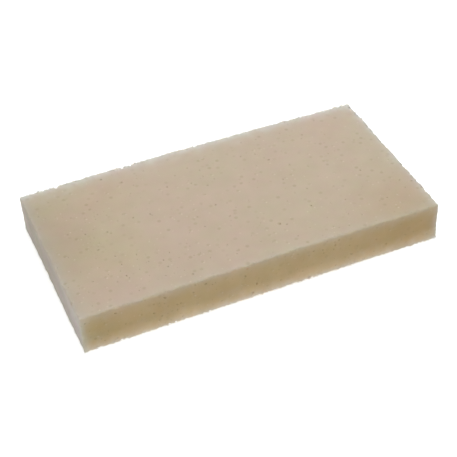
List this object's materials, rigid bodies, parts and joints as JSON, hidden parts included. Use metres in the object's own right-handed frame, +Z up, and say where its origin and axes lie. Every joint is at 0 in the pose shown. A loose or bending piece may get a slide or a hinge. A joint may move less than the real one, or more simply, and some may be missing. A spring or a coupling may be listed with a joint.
{
  "type": "hydro sponge",
  "caption": "Plain rectangular block of cream open-cell foam: the wiping pad of a tiler's washing float, which is wetted, wrung and drawn over a surface.",
  "frame": {"origin": "middle of the underside, the face that the block lies on", "axes": "+X along the length, +Y across the width, +Z up through the thickness"},
  "size_m": [0.28, 0.145, 0.032],
  "materials": {
    "foam": "matte"
  },
  "bodies": {
    "root": {"foam_block": "foam"}
  },
  "joints": []
}
